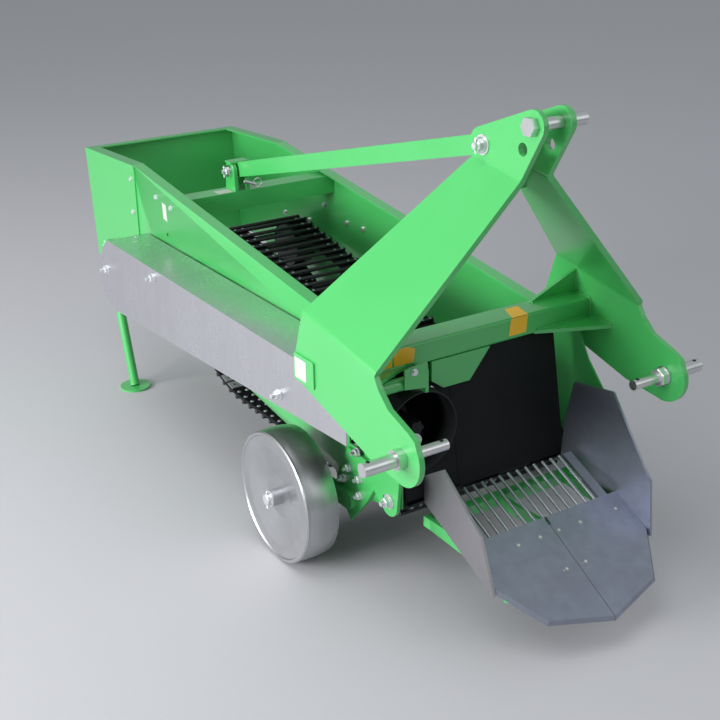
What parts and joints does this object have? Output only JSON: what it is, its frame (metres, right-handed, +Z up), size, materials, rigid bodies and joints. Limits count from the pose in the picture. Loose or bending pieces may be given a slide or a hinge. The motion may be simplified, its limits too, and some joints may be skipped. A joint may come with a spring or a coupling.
{
  "type": "tractor-mounted single-row potato harvester",
  "caption": "Three-point-linkage potato harvester: split share with side plates, rod conveyor web in a green steel channel, chain guard, two gauge wheels and two parking legs.",
  "frame": {"origin": "On the ground, under the middle of the machine's footprint.", "axes": "+X is the machine's left-hand side, +Y points to the rear (away from the tractor), +Z is up; the share's tip points to -Y."},
  "size_m": [0.8934, 2.0626, 1.0679],
  "materials": {
    "green_paint": "gloss",
    "zinc": "satin",
    "bare_steel": "satin",
    "drawn_steel": "satin",
    "galvanised": "satin",
    "black_rubber": "matte",
    "black_steel": "satin",
    "grey_iron": "matte",
    "white_label": "matte"
  },
  "bodies": {
    "frame": {"beam_gussets_left": "green_paint", "beam_gussets_right": "green_paint", "beam_hanger": "green_paint", "chain_guard": "bare_steel", "drive_chain": "black_steel", "drive_shaft": "black_steel", "front_beam": "green_paint", "front_roller": "black_steel", "gearbox": "grey_iron", "gearbox_mount": "green_paint", "guard_studs": "zinc", "hitch_plate_left": "green_paint", "hitch_plate_right": "green_paint", "leg_sleeve_left": "green_paint", "leg_sleeve_right": "green_paint", "lower_hitch_pin_left": "zinc", "lower_hitch_pin_right": "zinc", "mast_brace": "green_paint", "pto_cone": "black_rubber", "rear_cross_beam": "green_paint", "rear_hood": "green_paint", "rubber_curtain": "black_rubber", "share_bars": "drawn_steel", "share_carrier": "green_paint", "share_cheek_left": "bare_steel", "share_cheek_right": "bare_steel", "share_left": "bare_steel", "share_right": "bare_steel", "shield_bracket": "green_paint", "side_plate_left": "green_paint", "side_plate_right": "green_paint", "side_wall_left": "green_paint", "side_wall_right": "green_paint", "sign_plate": "green_paint", "sprockets": "drawn_steel", "stay_bar": "green_paint", "stay_lug": "green_paint", "stay_pins": "zinc", "take_up_left": "green_paint", "take_up_right": "green_paint", "top_link_pin": "zinc", "web_belts": "black_rubber", "web_idlers": "black_steel", "web_rods": "black_steel", "wheel_bracket_left": "green_paint", "wheel_bracket_right": "green_paint"},
    "wheel_right": {"wheel_right": "galvanised"},
    "wheel_left": {"wheel_left": "galvanised"},
    "leg_right": {"parking_leg_right": "green_paint"},
    "leg_left": {"parking_leg_left": "green_paint"},
    "input_shaft": {"pto_shaft": "drawn_steel"}
  },
  "joints": [
    {"name": "wheel_right_turn", "type": "hinge", "parent": "frame", "child": "wheel_right", "pos_m": [-0.33325, -0.34167, 0.155], "axis": [1, 0, 0], "continuous": true},
    {"name": "wheel_left_turn", "type": "hinge", "parent": "frame", "child": "wheel_left", "pos_m": [0.39875, -0.34167, 0.155], "axis": [1, 0, 0], "continuous": true},
    {"name": "leg_right_slide", "type": "slide", "parent": "frame", "child": "leg_right", "axis": [0, 0.2756, 0.9613], "range_m": [0, 0.15]},
    {"name": "leg_left_slide", "type": "slide", "parent": "frame", "child": "leg_left", "axis": [0, 0.2756, 0.9613], "range_m": [0, 0.15]},
    {"name": "input_shaft_turn", "type": "hinge", "parent": "frame", "child": "input_shaft", "pos_m": [-0.16425, -0.54167, 0.383], "axis": [0, 1, 0], "continuous": true}
  ]
}
